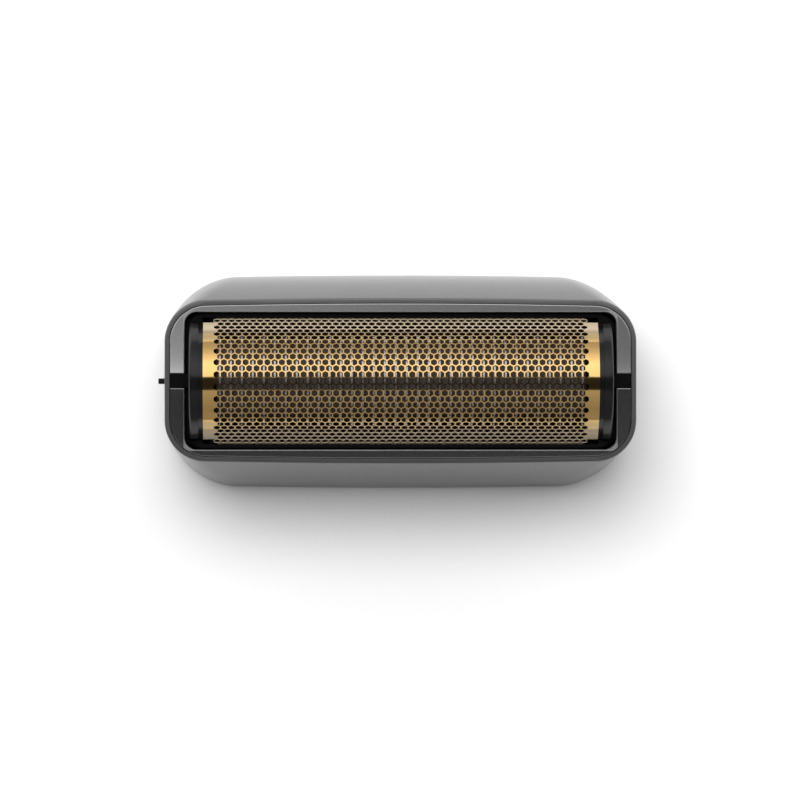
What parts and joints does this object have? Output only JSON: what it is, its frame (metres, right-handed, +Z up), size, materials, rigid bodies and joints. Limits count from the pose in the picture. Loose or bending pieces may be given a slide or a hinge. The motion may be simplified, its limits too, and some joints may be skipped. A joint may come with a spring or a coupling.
{
  "type": "shaver foil head",
  "caption": "Shaver foil head: a tapered casing with a floating perforated foil over a driven blade comb, and a press-in release latch.",
  "frame": {"origin": "centre of the open bottom rim, on the plane the head stands on", "axes": "+X along the foil, away from the release button; +Y across the foil; +Z up through the foil's crest"},
  "size_m": [0.0612, 0.0278, 0.0316],
  "materials": {
    "shell_metal": "satin gunmetal",
    "ring_metal": "satin with bright bevels",
    "foil_gold": "bright gold coating",
    "cap_gloss": "polished black",
    "frame_plastic": "fine matt black",
    "inner_plastic": "matt dark grey",
    "bridge_plastic": "natural acetal white",
    "button_plastic": "satin black",
    "blade_steel": "ground",
    "spring_steel": "drawn wire and strip",
    "screw_steel": "zinc plated",
    "insert_brass": "turned",
    "seal_rubber": "matt black"
  },
  "bodies": {
    "housing": {"head_shell": "shell_metal", "trim_ring": "ring_metal", "chassis": "inner_plastic", "chassis_screws": "screw_steel", "seal_gasket": "seal_rubber", "leaf_spring_left": "spring_steel", "leaf_spring_right": "spring_steel", "float_spring_front_left": "spring_steel", "float_spring_back_left": "spring_steel", "float_spring_front_right": "spring_steel", "float_spring_back_right": "spring_steel", "release_spring": "spring_steel"},
    "foil_cassette": {"foil_frame": "frame_plastic", "foil": "foil_gold", "foil_clamp_front": "frame_plastic", "foil_clamp_back": "frame_plastic", "foil_end_cap_left": "cap_gloss", "foil_end_cap_right": "cap_gloss"},
    "cutter": {"cutter_carrier": "inner_plastic", "cutter_blades": "blade_steel"},
    "oscillator": {"oscillator_bridge": "bridge_plastic", "drive_insert": "insert_brass", "cutter_spring_left": "spring_steel", "cutter_spring_right": "spring_steel"},
    "release_button": {"release_button": "button_plastic"}
  },
  "joints": [
    {"name": "foil_float", "type": "slide", "parent": "housing", "child": "foil_cassette", "axis": [0, 0, 1], "range_m": [-0.0012, 0], "stiffness_N_per_m": 1200, "springref_m": 0.001, "deforming": ["float_spring_front_left", "float_spring_back_left", "float_spring_front_right", "float_spring_back_right", "cutter_spring_left", "cutter_spring_right"]},
    {"name": "oscillator_slide", "type": "slide", "parent": "housing", "child": "oscillator", "axis": [1, 0, 0], "range_m": [-0.001, 0.001], "stiffness_N_per_m": 300, "deforming": ["leaf_spring_left", "leaf_spring_right"]},
    {"name": "cutter_slide", "type": "slide", "parent": "foil_cassette", "child": "cutter", "axis": [1, 0, 0], "range_m": [-0.001, 0.001]},
    {"name": "release_press", "type": "slide", "parent": "housing", "child": "release_button", "axis": [1, 0, 0], "range_m": [0, 0.0008], "stiffness_N_per_m": 600, "springref_m": -0.001, "deforming": ["release_spring"]}
  ],
  "couplings": [
    {"joint": "cutter_slide", "follows": "oscillator_slide", "ratio": 1}
  ]
}
